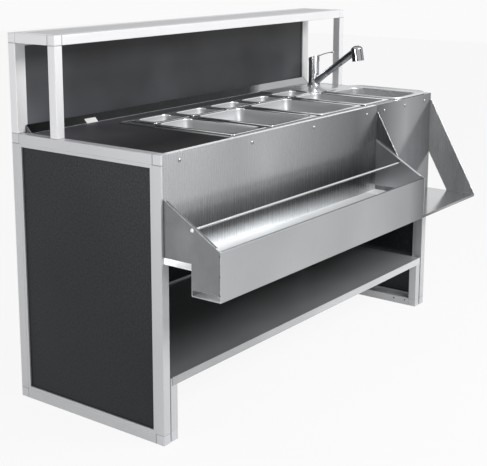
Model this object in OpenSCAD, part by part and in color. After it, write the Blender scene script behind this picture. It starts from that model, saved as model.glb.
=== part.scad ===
// Bar station: two panelled side frames carry a worktop with a frame of ice bins and
// food pans, a small sink with a pull-out tap, a riser, a bottle rail and a lower shelf.
// Lengths are in millimetres. The bartender stands at -Y and +X runs to the sink end.

/* [Station] */
// Length along the bar
bar_length = 1600; // [1590:10:2200]
// Depth of the side frames
bar_depth = 600; // [600:5:750]
// Height of the side frames
bar_height = 855; // [845:5:950]
// Height of the riser above the worktop
riser_h = 305; // [205:5:445]
// Depth of the riser
riser_depth = 200; // [160:5:220]

/* [Frame profile] */
// Width of the square tube
profile = 30; // [28:1:34]
// Wall of the square tube
profile_wall = 2; // [1.5:0.5:3]
// Radius of the tube's edges
profile_r = 1.5; // [0.5:0.5:2]
// How far the lips reach over the panels
lip = 10; // [8:1:12]
// Thickness of the panels held by the lips
infill_t = 18; // [14:1:20]

/* [Worktop] */
// Thickness of the worktop board
board_t = 18; // [12:1:22]
// Gap between the side frames and the pieces that lie between them
side_gap = 5; // [3:1:6]
// Height and depth of the upstand along the back of the worktop
upstand = 25; // [15:1:35]
// Height of the beam behind the apron
beam_h = 40; // [30:1:50]
// Depth of the beam behind the apron, also the width of the apron's top fold
beam_d = 16; // [12:1:16]

/* [Pans] */
// Width of a third pan
third_w = 176; // [170:1:178]
// Width of a half pan
half_w = 265; // [255:1:267]
// Width of a small pan
ninth_w = 176; // [170:1:180]
// Length of a small pan
ninth_len = 108; // [100:1:110]
// Depth of the two ice bins
bin_depth = 200; // [150:5:205]
// Depth of the third pans
third_depth = 150; // [65:5:200]
// Depth of the small pans
ninth_depth = 100; // [65:5:150]
// Width of the pan rims
rim_w = 12; // [10:1:13]
// Height of the folded pan rims
rim_h = 3; // [2:0.5:4]
// Sheet of the pans
pan_wall = 1; // [0.6:0.1:1.4]
// Divider between front pans
front_divider = 24; // [18:1:26]
// Divider between small pans
small_divider = 12; // [8:1:14]

/* [Ice well] */
// Thickness of the insulation round the well
insulation_t = 15; // [10:1:15]
// Sheet of the well's liner and casing
well_sheet = 1; // [0.8:0.1:1.2]
// Height of the well inside
well_depth = 220; // [210:5:235]
// Outer diameter of the well's drain pipe
well_drain_d = 25; // [20:1:32]

/* [Sink] */
// Width of the bowl
bowl_w = 202; // [180:1:204]
// Depth of the bowl
bowl_depth = 180; // [140:5:200]
// Corner radius of the bowl
bowl_r = 45; // [25:1:60]
// Sheet of the sink
sink_sheet = 1.2; // [0.8:0.1:1.5]
// Height of the raised rim
sink_rim_h = 6; // [3:0.5:8]
// Diameter of the waste's pipe
waste_d = 50; // [40:1:52]
// Outer diameter of the trap's outlet
outlet_d = 40; // [32:1:44]

/* [Tap] */
// Diameter of the tap's body
tap_d = 42; // [38:1:46]
// Height of the tap's body
tap_body_h = 90; // [84:1:105]
// Angle of the spout above the deck
spout_angle = 36; // [34:1:42]
// Reach of the spout
spout_reach = 200; // [180:5:240]
// Diameter of the spray head
head_d = 46; // [42:1:50]
// Height of the spray head
head_h = 60; // [54:1:70]
// Length of the lever from its pivot to its tip
lever_len = 89; // [70:1:110]

/* [Bottle rail] */
// Length of the bracket shelf; the rail takes the rest of the bar
bracket_length = 417; // [300:1:600]
// Depth of the rail in front of the station
rail_depth = 200; // [190:5:240]
// Drop from the worktop to the upper tier's floor
tier_high_drop = 309; // [295:1:320]
// Drop from the worktop to the lower tier's floor
tier_low_drop = 383; // [365:1:395]
// Drop from the worktop to the rail's front edge
rail_front_drop = 242; // [215:1:265]
// Sheet of the rail, apron and shelves
sheet = 1.5; // [1:0.25:2]
// Diameter of the bottle rod
rod_d = 8; // [6:1:10]

/* [Shelves] */
// Drop from the worktop to the bracket shelf
bracket_shelf_drop = 376; // [355:1:390]
// Height of the lower shelf
shelf_z = 198; // [150:1:300]
// Height of the lower shelf's front fold
shelf_lip = 25; // [15:1:30]

/* [Hidden] */
// Run of every cut past the face that it opens
over = 1;
// Clearance between pieces that are slid together
slip = 0.3;
// Radial clearance of turning and sliding fits
fit = 0.08;

// Frames
lip_set = 1;
lip_t = (profile - infill_t) / 2 - lip_set;
infill_slip = 0.2;
plug_len = 20;
plug_w = profile - 2 * profile_wall - 2 * slip;
side_bar_len = bar_depth - 2 * profile;
side_post_len = bar_height - 2 * profile;
inner_length = bar_length - 2 * profile;
riser_y = bar_depth - riser_depth;
riser_top_height = bar_height + riser_h;
riser_post_len = riser_h - profile;
riser_side_len = riser_depth - 2 * profile;
top_panel_t = 15;
top_panel_set = 0.5;
top_panel_gap = 1;
ledge_t = 3;

// Worktop
board_top = bar_height - sheet;
board_z = board_top - board_t;
beam_wall = 2;
upstand_y = bar_depth - profile + lip_set - upstand;
cap_t = 3;
end_gap = 1;

// Frame that holds the pans
tray_t = 2;
tray_top = bar_height + tray_t;
tray_edge = 2;
tray_lap = 4;
tray_side = 23;
tray_front_margin = 11;
tray_back_margin = 14;
row_gap = 4;
tray_r = 4;
pan_r = 25;
rim_r = 8;
hole_slip = 1.5;
front_w = [third_w, half_w, half_w, third_w];
front_depth = [third_depth, bin_depth, bin_depth, third_depth];
small_pans = 5;
front_row_w = 2 * third_w + 2 * half_w + 3 * front_divider;
small_row_w = small_pans * ninth_w + (small_pans - 1) * small_divider;
tray_w = front_row_w + 2 * tray_side;
tray_y = beam_d - tray_lap;
tray_back_room = 126;
tray_d = bar_depth - tray_back_room - tray_y;
front_len = tray_d - tray_front_margin - row_gap - ninth_len - tray_back_margin;
weld = 0.1;
front_row_y = tray_y + tray_front_margin;
small_row_y = front_row_y + front_len + row_gap;
small_row_shift = 10;

// Sink
sink_ledge_left = 22;
sink_ledge_right = 35;
sink_w = bowl_w + sink_ledge_left + sink_ledge_right;
sink_edge = 3;
sink_x = bar_length - sink_edge - sink_w;
sink_back_room = 257;
sink_len = bar_depth - sink_back_room - sink_edge;
sink_r = 55;
bead_w = 10;
bowl_x = sink_x + sink_ledge_left;
bowl_y = 30;
bowl_back_ledge = 25;
bowl_len = sink_edge + sink_len - bowl_back_ledge - bowl_y;
deck_side = 115;
deck_x = sink_x - deck_side;
deck_back = upstand_y - end_gap;
deck_top = bar_height + sink_sheet;
bowl_cx = bowl_x + bowl_w / 2;
bowl_cy = bowl_y + bowl_len / 2;
bowl_floor = bar_height - bowl_depth;
seam = 0.5;
tray_x = sink_x - seam - tray_w;
front_row_x = tray_x + tray_side;
small_row_x = tray_x + (tray_w - small_row_w) / 2 + small_row_shift;

// Well, whose walls clear the pans by pan_clear
pan_clear = 2;
well_x0 = front_row_x + rim_w - pan_clear;
well_x1 = front_row_x + front_row_w - rim_w + pan_clear;
well_y0 = front_row_y + rim_w - pan_clear;
well_y1 = small_row_y + ninth_len - rim_w + pan_clear;
well_z = board_top - well_depth;
well_skin = 2 * well_sheet + insulation_t;
well_flange = 4;
drain_flange = 10;
drain_wall = 2;
drain_drop = 45;
drain_neck = 0.5;
drain_nipple = 26;
drain_x = (well_x0 + well_x1) / 2;
drain_y = (well_y0 + well_y1) / 2;

// Waste and trap
waste_flange = 12;
waste_wall = 2.5;
waste_len = 75;
nut_h = 14;
nut_ring = 9;
strainer_t = 2;
strainer_lip = 4;
strainer_depth = 10;
strainer_holes = 10;
strainer_hole_d = 4;
knob_d = 8;
knob_h = 13;
trap_d = 72;
trap_wall = 3;
trap_h = 80;
trap_grip = 15;
trap_top = bowl_floor - waste_len + trap_grip;
cup_h = 62;
outlet_len = 150;
outlet_grip = 100;
outlet_neck = 1;
outlet_drop = 26;

// Tap
tap_side = 85;
tap_x = bar_length - tap_side;
tap_back = 115;
tap_y = bar_depth - tap_back;
base_d = 50;
base_h = 6;
shank_d = 32;
shank_len = 62;
board_hole_slip = 1;
spigot_d = 28;
spigot_h = 9;
inlet_d = 10;
inlet_depth = 20;
inlet_ring = 9;
tap_nut_d = 56;
tap_nut_h = 12;
body_z = deck_top + base_h + slip;
body_top = body_z + tap_body_h;
spout_rise = 9;
spout_z = deck_top + spout_rise;
root_d = 32;
dock_d = 24;
dock_at = 82;
dock_bore_d = 17;
dock_bore_depth = 30;
ring_h = 3;
ring_proud = 2;
grip_end_d = 28;
grip_len = spout_reach / cos(spout_angle) - dock_at;
head_tilt = 10;
head_hang_share = 0.73;
head_below = head_hang_share * head_h;
dome_h = 13;
nozzle_inset = 4;
nozzle_depth = 3;
nozzle_hole_d = 2.4;
nozzle_counts_share = [[0.3, 6], [0.7, 12]];
button_d = 20;
button_h = 5;
button_travel = 2;
cartridge_d = 35;
cartridge_h = 36;
stem_d = 14;
stem_len = 18;
cap_d = 44;
cap_back = 13;
cap_rise = 15;
pivot_h = 9;
slot_w = 6;
hub_d = 8;
pivot_pin_d = 3;
pivot_pin_len = 16;
lever_d = 4;
lever_tip_d = 7;
lever_tip_len = 9;
lever_start = 35;
lever_end = 8;

// Bottle rail and bracket, seen from the end: [depth, height]
rail_x = 8;
rail_top = bar_height - sheet / 2;
rail_back_drop = 123;
rail_back_h = bar_height - rail_back_drop;
rail_front_h = bar_height - rail_front_drop;
tier_high = bar_height - tier_high_drop;
tier_low = bar_height - tier_low_drop;
hem = 9;
fold_w = 10;
fold_drop = 0.3;
rod_set = 3;
rod_rise = 113;
end_lift = 18;
rod_y = -rail_depth / 2 - rod_set;
rod_z = tier_high + rod_rise;
tab_len = 65;
tab_w = 74;
tab_hole_d = 9;
unit_gap = 1;
rail_length = bar_length - rail_x - unit_gap - bracket_length;
bracket_x = bar_length - bracket_length;
bracket_z = bar_height - bracket_shelf_drop;
bracket_drop = 8;
gusset_top_drop = 20;
gusset_low_drop = 230;
gusset_top = bar_height - gusset_top_drop;
gusset_low = bar_height - gusset_low_drop;
gusset_foot = 83;
gusset_w = 3;
screw_drop = 25;
screw_z = bar_height - screw_drop;
screw_head_d = 13;
screw_head_h = 3.5;
screw_d = 4;
screw_len = 10;
screw_hole_slip = 0.2;
rail_screws = 4;
rail_screw_edge = 71;
bracket_screws = 3;
bracket_screw_edge = 52;
rod_head_h = 2.5;

// Lower shelf and its stands
shelf_side = 10;
shelf_back = bar_depth - profile + lip_set + lip_t - slip;
shelf_upturn = 5;
stand_y0 = sheet + slip;
stand_y1 = bar_depth - profile;
leg_len = shelf_z - sheet - profile;

$fn = 48;

// Shared shapes

// The station's own corner moves so that its box is centred on the origin
module place() {
    translate([-bar_length / 2, -(bar_depth - rail_depth) / 2, 0]) children();
}

// A flat outline drawn as [depth, height] and run along +X
module along_x(run) {
    rotate([90, 0, 90]) linear_extrude(run) children();
}

// A rectangle with round corners, from its lowest corner
module round_rect(w, d, r) {
    translate([r, 0]) square([w - 2 * r, d]);
    translate([0, r]) square([w, d - 2 * r]);
    for (x = [r, w - r], y = [r, d - r]) translate([x, y]) circle(r);
}

// A plate with round corners
module plate(w, d, t, r) {
    linear_extrude(t) round_rect(w, d, r);
}

// The end view of a folded sheet: a band of width t along the given points
module folded(points, t) {
    for (i = [0 : len(points) - 2]) {
        run = points[i + 1] - points[i];
        translate(points[i]) rotate(atan2(run[1], run[0]))
            translate([0, -t / 2]) square([norm(run), t]);
    }
    for (p = points) translate(p) circle(t / 2);
}

// A square tube along +X, from its lowest corner
module tube(run, w = profile, h = profile, wall = profile_wall) {
    along_x(run) difference() {
        round_rect(w, h, profile_r);
        translate([wall, wall]) square([w - 2 * wall, h - 2 * wall]);
    }
}

// The pair of lips on a tube's +Z side, each end cut back by its mitre
module lips(run, start, end) {
    outline = [[0, -profile_wall], [run, -profile_wall], [run, 0], [run - end, lip], [start, lip], [0, 0]];
    for (y = [lip_set, profile - lip_set - lip_t])
        translate([0, y + lip_t, profile]) rotate([90, 0, 0]) linear_extrude(lip_t) polygon(outline);
}

module lipped_tube(run, start, end) {
    tube(run);
    lips(run, start, end);
}

// A corner connector: a cube with a plug towards each tube that it joins
module corner_cube(towards) {
    intersection() {
        tube_core();
        rotate([90, 0, 90]) tube_core();
        rotate([-90, -90, 0]) tube_core();
    }
    for (d = towards)
        translate([for (k = [0 : 2]) profile / 2 + d[k] * (profile + plug_len) / 2])
            cube([for (k = [0 : 2]) d[k] == 0 ? plug_w : plug_len + over], center = true);
}

module tube_core() {
    plate(profile, profile, profile, profile_r);
}

// Side frames

module frame_colour() {
    color("gainsboro") children();
}

module side_posts() {
    for (back = [0, 1])
        translate([0, back * bar_depth, 0]) mirror([0, back, 0])
            translate([0, 0, profile]) rotate([-90, -90, 0]) lipped_tube(side_post_len, lip, lip);
}

module side_rails() {
    for (top = [0, 1])
        translate([0, 0, top * bar_height]) mirror([0, 0, top])
            translate([profile, profile, 0]) rotate([0, 0, 90]) lipped_tube(side_bar_len, lip, lip);
}

module side_cubes() {
    for (y = [0, 1], z = [0, 1])
        translate([0, y * (bar_depth - profile), z * (bar_height - profile)])
            corner_cube([[0, 1 - 2 * y, 0], [0, 0, 1 - 2 * z]]);
}

module side_infill() {
    translate([lip_set + lip_t + infill_slip, profile + infill_slip, profile + infill_slip])
        cube([infill_t - 2 * infill_slip, side_bar_len - 2 * infill_slip, side_post_len - 2 * infill_slip]);
}

module on_right() {
    translate([bar_length, 0, 0]) mirror([1, 0, 0]) children();
}

module left_posts() { place() frame_colour() side_posts(); }
module left_rails() { place() frame_colour() side_rails(); }
module left_corner_cubes() { place() frame_colour() side_cubes(); }
module left_infill_panel() { place() color("dimgray") side_infill(); }
module right_posts() { place() frame_colour() on_right() side_posts(); }
module right_rails() { place() frame_colour() on_right() side_rails(); }
module right_corner_cubes() { place() frame_colour() on_right() side_cubes(); }
module right_infill_panel() { place() color("dimgray") on_right() side_infill(); }

// Riser

module riser_posts() {
    place() frame_colour() for (right = [0, 1])
        translate([right * bar_length, 0, bar_height]) mirror([right, 0, 0]) {
            translate([profile, riser_y, 0]) rotate([0, -90, 0]) tube(riser_post_len);
            translate([0, bar_depth, 0]) rotate([0, -90, 180]) lipped_tube(riser_post_len, 0, lip);
        }
}

// The ledge under the edge of the riser's top panel, along +X and towards +Y
module ledge(run) {
    translate([0, profile - profile_wall, profile - top_panel_set - top_panel_t - ledge_t])
        cube([run, lip + profile_wall, ledge_t]);
}

module riser_long_rails() {
    place() frame_colour() translate([profile, 0, riser_top_height - profile]) {
        translate([0, riser_y, 0]) {
            tube(inner_length);
            translate([lip, 0, 0]) ledge(inner_length - 2 * lip);
        }
        translate([0, bar_depth - profile, 0]) {
            translate([0, 0, profile]) mirror([0, 0, 1]) lipped_tube(inner_length, lip, lip);
            translate([lip, profile, 0]) mirror([0, 1, 0]) ledge(inner_length - 2 * lip);
        }
    }
}

module riser_short_rails() {
    place() frame_colour() for (right = [0, 1])
        translate([right * bar_length, riser_y + profile, riser_top_height - profile]) mirror([right, 0, 0])
            translate([0, riser_side_len, 0]) rotate([0, 0, -90]) {
                tube(riser_side_len);
                ledge(riser_side_len);
            }
}

module riser_corner_cubes() {
    place() frame_colour() for (x = [0, 1], y = [0, 1])
        translate([x * (bar_length - profile), riser_y + y * (riser_depth - profile), riser_top_height - profile])
            corner_cube([[1 - 2 * x, 0, 0], [0, 1 - 2 * y, 0], [0, 0, -1]]);
}

module riser_top_panel() {
    place() color("whitesmoke")
        translate([profile + top_panel_gap, riser_y + profile + top_panel_gap,
                   riser_top_height - top_panel_set - top_panel_t])
            cube([inner_length - 2 * top_panel_gap, riser_side_len - 2 * top_panel_gap, top_panel_t]);
}

module riser_back_panel() {
    place() color("black")
        translate([profile + infill_slip, bar_depth - profile + lip_set + lip_t + infill_slip, board_top])
            cube([inner_length - 2 * infill_slip, infill_t - 2 * infill_slip,
                  riser_top_height - profile - infill_slip - board_top]);
}

// Beams between the side frames and the board that closes the customer side

module cross_rails() {
    place() frame_colour() {
        difference() {
            translate([profile, 0, board_z - beam_h]) tube(inner_length, beam_d, beam_h, beam_wall);
            screw_holes(beam_wall);
        }
        translate([profile, bar_depth - profile, board_z]) mirror([0, 0, 1]) lipped_tube(inner_length, 0, 0);
        translate([profile, bar_depth - profile, 0]) lipped_tube(inner_length, 0, 0);
    }
}

module lower_back_panel() {
    place() color("black")
        translate([profile + infill_slip, bar_depth - profile + lip_set + lip_t + infill_slip,
                   profile + infill_slip])
            cube([inner_length - 2 * infill_slip, infill_t - 2 * infill_slip,
                  board_z - 2 * profile - 2 * infill_slip]);
}

// Worktop

board_split_x = well_x0 - well_skin - slip;

module worktop_left() {
    place() color("black") translate([profile + side_gap, slip, board_z])
        cube([board_split_x - profile - side_gap, bar_depth - 2 * slip, board_t]);
}

module worktop_back_strip() {
    place() color("black") difference() {
        translate([board_split_x, well_y1 + well_skin + slip, board_z])
            cube([bar_length - profile - side_gap - board_split_x,
                  bar_depth - slip - well_y1 - well_skin - slip, board_t]);
        translate([tap_x, tap_y, board_z - over]) cylinder(d = shank_d + 2 * board_hole_slip, h = board_t + 2 * over);
    }
}

upstand_outline = [[0, 0], [upstand, 0], [upstand, upstand]];

module upstand_trim() {
    place() color("silver") translate([profile + end_gap + cap_t, upstand_y, board_top])
        along_x(inner_length - 2 * end_gap - 2 * cap_t) polygon(upstand_outline);
}

module upstand_end_caps() {
    place() color("white") for (x = [profile + end_gap, bar_length - profile - end_gap - cap_t])
        translate([x, upstand_y, board_top]) along_x(cap_t) polygon(upstand_outline);
}

// Pans and the frame that holds them

function front_pan_x(i) = i == 0 ? front_row_x : front_pan_x(i - 1) + front_w[i - 1] + front_divider;
function small_pan_x(i) = small_row_x + i * (ninth_w + small_divider);

// How far an opening of the frame is set in from the rim of its pan
opening_in = rim_w - hole_slip;
front_openings = [for (i = [0 : len(front_w) - 1])
    [front_pan_x(i) + opening_in, front_pan_x(i) + front_w[i] - opening_in]];
small_openings = [for (k = [0 : small_pans - 1])
    [small_pan_x(k) + opening_in, small_pan_x(k) + ninth_w - opening_in]];

// A flat strip across the frame, and the short strips beside and between the openings of a row.
// The frame is welded from them, so each stays a plain strip, a weld away from its neighbour.
module long_strip(y0, y1) {
    translate([tray_x, y0, bar_height]) cube([tray_w, y1 - y0, tray_t]);
}

module row_strips(openings, y0, y1) {
    edges = concat([tray_x], [for (pair = openings) each pair], [tray_x + tray_w]);
    for (i = [0 : 2 : len(edges) - 2])
        translate([edges[i], y0 + weld, bar_height])
            cube([edges[i + 1] - edges[i], y1 - y0 - 2 * weld, tray_t]);
}

module pan_frame() {
    front_hole = front_row_y + opening_in;
    front_hole_end = front_row_y + front_len - opening_in;
    small_hole = small_row_y + opening_in;
    small_hole_end = small_row_y + ninth_len - opening_in;
    place() color("silver") {
        intersection() {
            translate([tray_x, tray_y, bar_height]) plate(tray_w, tray_d, tray_t, tray_r);
            union() {
                long_strip(tray_y, front_hole);
                row_strips(front_openings, front_hole, front_hole_end);
                long_strip(front_hole_end, small_hole);
                row_strips(small_openings, small_hole, small_hole_end);
                long_strip(small_hole_end, tray_y + tray_d);
            }
        }
        // Folded edges that stand on the worktop
        for (x = [tray_x, tray_x + tray_w - tray_edge])
            for (y = [[front_hole, front_hole_end], [small_hole, small_hole_end]])
                translate([x, y[0] + weld, board_top])
                    cube([tray_edge, y[1] - y[0] - 2 * weld, sheet]);
        translate([tray_x + tray_r, tray_y + tray_d - tray_edge, board_top])
            cube([tray_w - 2 * tray_r, tray_edge, sheet]);
    }
}

// An open pan that hangs by its folded rim, from the rim's lowest corner
module pan(w, d, deep) {
    color("silver") difference() {
        union() {
            plate(w, d, rim_h, rim_r);
            translate([rim_w, rim_w, -deep]) plate(w - 2 * rim_w, d - 2 * rim_w, deep + rim_h, pan_r);
        }
        translate([pan_wall, pan_wall, -over]) difference() {
            plate(w - 2 * pan_wall, d - 2 * pan_wall, rim_h - pan_wall + over, rim_r - pan_wall);
            translate([rim_w - pan_wall, rim_w - pan_wall, -over])
                plate(w - 2 * rim_w, d - 2 * rim_w, rim_h + 2 * over, pan_r);
        }
        inset = rim_w + pan_wall;
        translate([inset, inset, pan_wall - deep])
            plate(w - 2 * inset, d - 2 * inset, deep + rim_h, pan_r - pan_wall);
    }
}

module front_pan(i) {
    place() translate([front_pan_x(i), front_row_y, tray_top]) pan(front_w[i], front_len, front_depth[i]);
}

module small_pan(k) {
    place() translate([small_pan_x(k - 1), small_row_y, tray_top]) pan(ninth_w, ninth_len, ninth_depth);
}

module pan_left_third() { front_pan(0); }
module ice_bin_left() { front_pan(1); }
module ice_bin_right() { front_pan(2); }
module pan_right_third() { front_pan(3); }

// Insulated well under the pans

// A box that stands out from the well's inside by grow, and starts at the given height
module well_box(grow, low, high) {
    translate([well_x0 - grow, well_y0 - grow, low])
        cube([well_x1 - well_x0 + 2 * grow, well_y1 - well_y0 + 2 * grow, high - low]);
}

module drain_hole() {
    translate([drain_x, drain_y, well_z - drain_drop])
        cylinder(d = well_drain_d + 2 * slip, h = drain_drop + 2 * over);
}

module well_liner() {
    place() color("silver") difference() {
        union() {
            well_box(well_sheet, well_z - well_sheet, board_top + well_sheet);
            translate([well_x0 - well_skin - well_flange, well_y0 - well_skin, board_top])
                cube([well_x1 - well_x0 + 2 * (well_skin + well_flange),
                      well_y1 - well_y0 + 2 * well_skin + well_flange, well_sheet]);
        }
        well_box(0, well_z, bar_height + over);
        drain_hole();
    }
}

module well_insulation() {
    outer = well_sheet + insulation_t;
    low = well_z - outer;
    span_x = well_x1 - well_x0 + 2 * outer;
    span_y = well_y1 - well_y0 + 2 * well_sheet;
    place() color("khaki") {
        difference() {
            well_box(outer, low, well_z - well_sheet);
            drain_hole();
        }
        for (y = [well_y0 - outer, well_y1 + well_sheet])
            translate([well_x0 - outer, y, well_z - well_sheet])
                cube([span_x, insulation_t, board_top - well_z + well_sheet]);
        for (x = [well_x0 - outer, well_x1 + well_sheet])
            translate([x, well_y0 - well_sheet, well_z - well_sheet])
                cube([insulation_t, span_y, board_top - well_z + well_sheet]);
    }
}

module well_casing() {
    outer = well_sheet + insulation_t;
    place() color("lightgray") difference() {
        well_box(well_skin, well_z - well_skin, board_top);
        well_box(outer, well_z - outer, board_top + over);
        drain_hole();
    }
}

module well_drain() {
    place() color("silver") translate([drain_x, drain_y, well_z]) difference() {
        union() {
            cylinder(d = well_drain_d + 2 * drain_flange, h = drain_wall);
            translate([0, 0, -drain_drop]) cylinder(d = well_drain_d - 2 * drain_neck, h = drain_drop + drain_wall);
            translate([0, 0, -drain_drop]) cylinder(d = well_drain_d, h = drain_nipple);
        }
        translate([0, 0, -drain_drop - over])
            cylinder(d = well_drain_d - 2 * drain_wall, h = drain_drop + drain_wall + 2 * over);
    }
}

// Sink with its deck, waste and trap

module sink_unit() {
    bowl_top = bar_height - weld;
    place() color("silver") {
        sink_deck();
        // The bowl is welded under the deck
        difference() {
            translate([bowl_x, bowl_y, bowl_floor]) plate(bowl_w, bowl_len, bowl_top - bowl_floor, bowl_r);
            bowl_inside(bowl_floor + sink_sheet);
            translate([bowl_cx, bowl_cy, bowl_floor - over])
                cylinder(d = waste_d + 2 * slip, h = sink_sheet + 2 * over);
        }
    }
}

// The space in the bowl, from the given height up
module bowl_inside(low) {
    translate([bowl_x + sink_sheet, bowl_y + sink_sheet, low])
        plate(bowl_w - 2 * sink_sheet, bowl_len - 2 * sink_sheet, deck_top + over - low, bowl_r - sink_sheet);
}

module sink_deck() {
    rim_y = sink_edge;
    difference() {
        union() {
            translate([sink_x, rim_y, bar_height]) plate(sink_w, sink_len, sink_sheet, sink_edge);
            translate([sink_x, rim_y + sink_edge, bar_height])
                cube([bar_length - profile - side_gap - sink_x, deck_back - rim_y - sink_edge, sink_sheet]);
            translate([deck_x, tray_y + tray_d + seam, bar_height])
                cube([sink_x - deck_x + over, deck_back - tray_y - tray_d - seam, sink_sheet]);
            translate([deck_x, tray_y + tray_d + seam, board_top])
                cube([sink_sheet, deck_back - tray_y - tray_d - seam, sheet + sink_sheet]);
            raised_rim();
        }
        bowl_inside(bar_height - over);
        translate([tap_x, tap_y, bar_height - over])
            cylinder(d = shank_d + 2 * slip, h = sink_sheet + 2 * over);
    }
}

// The pressed bead round the sink
module raised_rim() {
    translate([sink_x, sink_edge, bar_height]) difference() {
        plate(sink_w, sink_len, sink_sheet + sink_rim_h, sink_r);
        translate([bead_w, bead_w, -over])
            plate(sink_w - 2 * bead_w, sink_len - 2 * bead_w, sink_sheet + sink_rim_h + 2 * over,
                  sink_r - bead_w);
    }
}

waste_top = bowl_floor + sink_sheet;

module sink_waste() {
    place() color("silver") translate([bowl_cx, bowl_cy, waste_top]) difference() {
        union() {
            cylinder(d = waste_d + 2 * waste_flange, h = strainer_t);
            translate([0, 0, -waste_len]) cylinder(d = waste_d, h = waste_len + strainer_t);
        }
        translate([0, 0, -waste_len - over])
            cylinder(d = waste_d - 2 * waste_wall, h = waste_len + strainer_t + 2 * over);
    }
}

// The strainer hangs in the waste by its lip
module sink_strainer() {
    drop_d = waste_d - 2 * waste_wall - 2 * slip;
    place() color("silver") translate([bowl_cx, bowl_cy, waste_top + strainer_t]) difference() {
        union() {
            cylinder(d = drop_d + 2 * strainer_lip, h = strainer_t);
            translate([0, 0, -strainer_depth]) cylinder(d = drop_d, h = strainer_depth + strainer_t);
        }
        difference() {
            translate([0, 0, strainer_t - strainer_depth])
                cylinder(d = drop_d - 2 * strainer_t, h = strainer_depth + over);
            translate([0, 0, -strainer_depth]) cylinder(d = knob_d, h = knob_h);
        }
        for (a = [0 : strainer_holes - 1]) rotate(a * 360 / strainer_holes)
            translate([drop_d / 3, 0, -strainer_depth - over])
                cylinder(d = strainer_hole_d, h = strainer_depth, $fn = 12);
    }
}

module waste_nut() {
    place() color("dimgray") translate([bowl_cx, bowl_cy, bowl_floor - nut_h]) difference() {
        cylinder(d = waste_d + 2 * nut_ring, h = nut_h, $fn = 8);
        translate([0, 0, -over]) cylinder(d = waste_d + 2 * slip, h = nut_h + 2 * over);
    }
}

module trap_body() {
    place() color("whitesmoke") translate([bowl_cx, bowl_cy, trap_top - trap_h]) difference() {
        union() {
            cylinder(d = trap_d, h = trap_h);
            translate([0, 0, trap_h - outlet_drop]) rotate([-90, 0, 0]) {
                cylinder(d = outlet_d - 2 * outlet_neck, h = outlet_len);
                translate([0, 0, outlet_len - outlet_grip]) cylinder(d = outlet_d, h = outlet_grip);
            }
        }
        translate([0, 0, -over]) cylinder(d = trap_d - 2 * trap_wall, h = trap_h - trap_wall);
        cylinder(d = waste_d + 2 * slip, h = trap_h + over);
        translate([0, 0, trap_h - outlet_drop]) rotate([-90, 0, 0])
            cylinder(d = outlet_d - 2 * trap_wall, h = outlet_len + over);
    }
}

module trap_cup() {
    place() color("whitesmoke") translate([bowl_cx, bowl_cy, trap_top - trap_h - cup_h]) difference() {
        cylinder(d = trap_d, h = cup_h);
        translate([0, 0, trap_wall]) cylinder(d = trap_d - 2 * trap_wall, h = cup_h);
    }
}

// Tap with its turning body, lever and pull-out spray

module at_tap(z) {
    place() translate([tap_x, tap_y, z]) children();
}

// Frame of the spout: +Z runs outwards along its axis
module along_spout() {
    at_tap(spout_z) rotate([90 - spout_angle, 0, 0]) children();
}

module tap_base() {
    at_tap(deck_top) color("silver") difference() {
        union() {
            cylinder(d = base_d, h = base_h);
            cylinder(d = spigot_d, h = base_h + spigot_h);
            translate([0, 0, -shank_len]) cylinder(d = shank_d, h = shank_len);
        }
        for (a = [0 : 120 : 240]) rotate(a)
            translate([inlet_ring, 0, -shank_len - over]) cylinder(d = inlet_d, h = inlet_depth + over);
    }
}

module tap_base_nut() {
    at_tap(board_z - tap_nut_h) color("goldenrod") difference() {
        cylinder(d = tap_nut_d, h = tap_nut_h, $fn = 6);
        translate([0, 0, -over]) cylinder(d = shank_d + 2 * slip, h = tap_nut_h + 2 * over);
    }
}

module tap_body() {
    color("silver") difference() {
        union() {
            at_tap(body_z) cylinder(d = tap_d, h = tap_body_h);
            difference() {
                along_spout() rotate_extrude() polygon([
                    [0, 0],
                    [root_d / 2, 0],
                    [dock_d / 2, dock_at - ring_h],
                    [(dock_d + ring_proud) / 2, dock_at - ring_h],
                    [(dock_d + ring_proud) / 2, dock_at],
                    [0, dock_at]
                ]);
                // The tap's foot is flat, so the spout's root stops there
                at_tap(body_z - tap_d) cylinder(d = 2 * tap_d, h = tap_d);
            }
        }
        at_tap(body_z - over) cylinder(d = spigot_d + 2 * fit, h = spigot_h + over);
        at_tap(body_top - cartridge_h - slip)
            cylinder(d = cartridge_d + 2 * fit, h = cartridge_h + slip + over);
        along_spout() translate([0, 0, dock_at - dock_bore_depth])
            cylinder(d = dock_bore_d + 2 * fit, h = dock_bore_depth + over);
    }
}

module tap_cartridge() {
    at_tap(body_top - cartridge_h) color("white") difference() {
        cylinder(d = cartridge_d, h = cartridge_h);
        translate([0, 0, cartridge_h - stem_len - slip]) cylinder(d = stem_d + 2 * fit, h = stem_len + slip + over);
    }
}

cap_z = body_top + slip;

module lever_cap() {
    slope = atan2(cap_rise, cap_d);
    at_tap(cap_z) color("silver") difference() {
        union() {
            cylinder(d = cap_d, h = cap_back + cap_rise);
            translate([0, 0, -stem_len]) cylinder(d = stem_d, h = stem_len);
        }
        // The top slopes up towards the lever
        translate([0, cap_d / 2, cap_back]) rotate([-slope, 0, 0])
            translate([-cap_d, -2 * cap_d, 0]) cube([2 * cap_d, 3 * cap_d, cap_d]);
        translate([-slot_w / 2, -cap_d, pivot_h - hub_d / 2 - slip])
            cube([slot_w, cap_d + hub_d / 2 + slip, cap_d]);
        translate([-pivot_pin_len / 2 - slip, 0, pivot_h]) rotate([0, 90, 0])
            cylinder(d = pivot_pin_d + 2 * fit, h = pivot_pin_len + 2 * slip);
    }
}

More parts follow.
